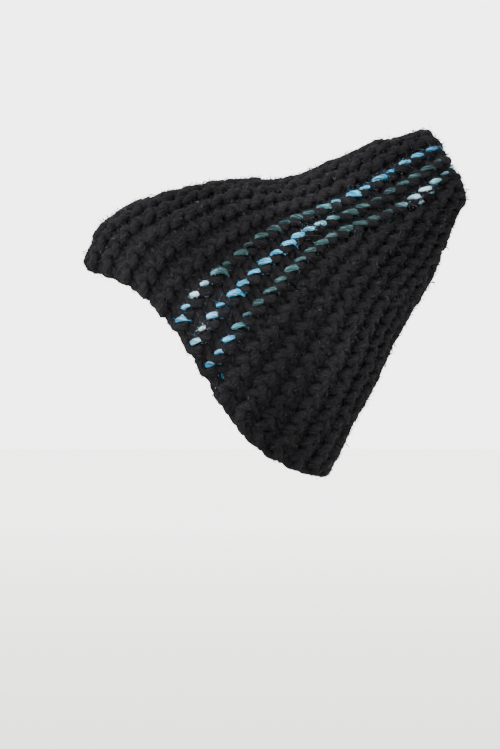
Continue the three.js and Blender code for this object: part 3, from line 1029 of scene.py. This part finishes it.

# %% [markdown]
# ## What each piece stands for
# The whole hood is one rigid body here. Each knitted piece replaces the solid that holds its place.

# %% Bodies and solids
REPLACED = {
    "knit_left_back": ("hood_fabric",),
    "knit_nape": ("hood_fabric",),
    "knit_far_side": ("hood_fabric",),
    "knit_forehead": ("hood_fabric", "peak_gather"),
    "knit_beside_stripes": ("hood_fabric",),
    "slub_stripe_front": ("slub_stripe_front",),
    "slub_stripe_middle": ("slub_stripe_middle",),
    "slub_stripe_back": ("slub_stripe_back",),
    "black_course_front": ("black_course_front",),
    "black_course_back": ("black_course_back",),
}
for name, nodes in REPLACED.items():
    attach(pieces[name], "root")
    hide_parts(*nodes)
print("pieces:", len(pieces))

# %% [markdown]
# ## The floor
# The floor is a large sheet of matte studio paper, well below the hood, which floats at the height
# where it is worn. Near the hood the paper is painted a little greyer, a painted shade, so that
# less light comes up from below.

# %% Studio paper
FLOOR_HEIGHT = -0.45
FLOOR_SIZE = 30.0


def paper_with_painted_shade():
    """Paper that is white far away, with painted shade that greys it near the hood."""
    material = new_material("studio_paper_with_painted_shade")
    place = add(material, "ShaderNodeNewGeometry")
    away = add(material, "ShaderNodeVectorMath", {"operation": "LENGTH"},
               {0: place.outputs["Position"]})
    far = add(material, "ShaderNodeMapRange", {"From Min": 0.8, "From Max": 6.0},
              {0: away.outputs["Value"]})
    # painted shade: the paper greys towards the hood
    ramp = add(material, "ShaderNodeValToRGB", links={0: far.outputs[0]})
    ramp.color_ramp.elements[0].color = linear("#c6c5c3")
    ramp.color_ramp.elements[1].color = linear("#f6f5f3")
    shader = add(material, "ShaderNodeBsdfPrincipled", {"Roughness": 0.9},
                 {"Base Color": ramp.outputs[0]})
    add(material, "ShaderNodeOutputMaterial", links={0: shader.outputs[0]})
    return material


half = FLOOR_SIZE / 2
sides = ((-half, -half), (half, -half), (half, half), (-half, half))
corners = [(x, y, FLOOR_HEIGHT) for x, y in sides]
floor_mesh = bpy.data.meshes.new("floor")
floor_mesh.from_pydata(corners, [], [(0, 1, 2, 3)])
floor_mesh.materials.append(paper_with_painted_shade())
floor = bpy.data.objects.new("floor", floor_mesh)
bpy.context.scene.collection.objects.link(floor)
print("floor, metres below the crown:", -FLOOR_HEIGHT)

# %% [markdown]
# ## Soft studio light
# Black wool needs a lot of light before its stitches show, and soft light, or each fibre glints. A
# bright world that is brightest near the horizon gives the pale surround. Three broad suns shape
# the knitting: a window in front and above, and two weaker ones that open the shadows.

# %% World and lights
WORLD_AT_HORIZON = 4.8
WORLD_OVERHEAD = 2.9

world = bpy.data.worlds.new("studio")
bpy.context.scene.world = world
world.use_nodes = True
world.node_tree.nodes.clear()
sky_place = add(world, "ShaderNodeTexCoord")
sky_parts = add(world, "ShaderNodeSeparateXYZ", links={0: sky_place.outputs["Generated"]})
sky_height = add(world, "ShaderNodeMath", {"operation": "ABSOLUTE"}, {0: sky_parts.outputs[2]})
sky_light = add(
    world, "ShaderNodeMapRange",
    {"From Min": 0.15, "From Max": 0.7, "To Min": WORLD_AT_HORIZON, "To Max": WORLD_OVERHEAD},
    {0: sky_height.outputs[0]},
)
sky = add(world, "ShaderNodeBackground", {"Color": linear("#fcfcfb")},
          {"Strength": sky_light.outputs[0]})
add(world, "ShaderNodeOutputWorld", links={0: sky.outputs[0]})


def soft_window(name, toward, strength, spread, colour):
    """A distant soft light that shines from a direction, as wide as its spread in degrees."""
    light = bpy.data.lights.new(name, "SUN")
    light.energy = strength
    light.angle = math.radians(spread)
    light.color = linear(colour)[:3]
    lamp = bpy.data.objects.new(name, light)
    lamp.rotation_mode = "QUATERNION"
    lamp.rotation_quaternion = Vector(toward).to_track_quat("Z", "Y")
    bpy.context.scene.collection.objects.link(lamp)
    print(name, "from", toward, "strength", strength)


soft_window("key_window", (0.6, -1.3, 0.8), 6.0, 40, "#ffffff")
soft_window("near_side_fill", (0.8, 0.9, 0.2), 1.6, 80, "#ffffff")
soft_window("far_side_fill", (-0.8, 0.6, 0.5), 1.5, 80, "#fff8f0")

# %% [markdown]
# ## The camera
# The camera looks straight at the hood's left side, from far enough away that near and far parts
# keep their proportions. The picture is 500 by 749 pixels and each pixel is 0.72 mm at the hood.

# %% Camera
PIXEL = 0.72 * MM
PICTURE_WIDTH = 500
PICTURE_HEIGHT = 749
ORIGIN_PIXEL = (212.3, 197.3)
CAMERA_DISTANCE = 3.0
SENSOR = 36.0
FARTHEST = 60

camera_data = bpy.data.cameras.new("camera")
camera_data.sensor_width = SENSOR
camera_data.lens = SENSOR * CAMERA_DISTANCE / (PICTURE_HEIGHT * PIXEL)
camera = bpy.data.objects.new("camera", camera_data)
camera.location = (
    CAMERA_DISTANCE,
    (PICTURE_WIDTH / 2 - ORIGIN_PIXEL[0]) * PIXEL,
    (ORIGIN_PIXEL[1] - PICTURE_HEIGHT / 2) * PIXEL,
)
camera.rotation_euler = (math.pi / 2, 0, math.pi / 2)
camera_data.clip_end = FARTHEST
bpy.context.scene.collection.objects.link(camera)
bpy.context.scene.camera = camera
print("lens, mm:", round(camera_data.lens, 1))
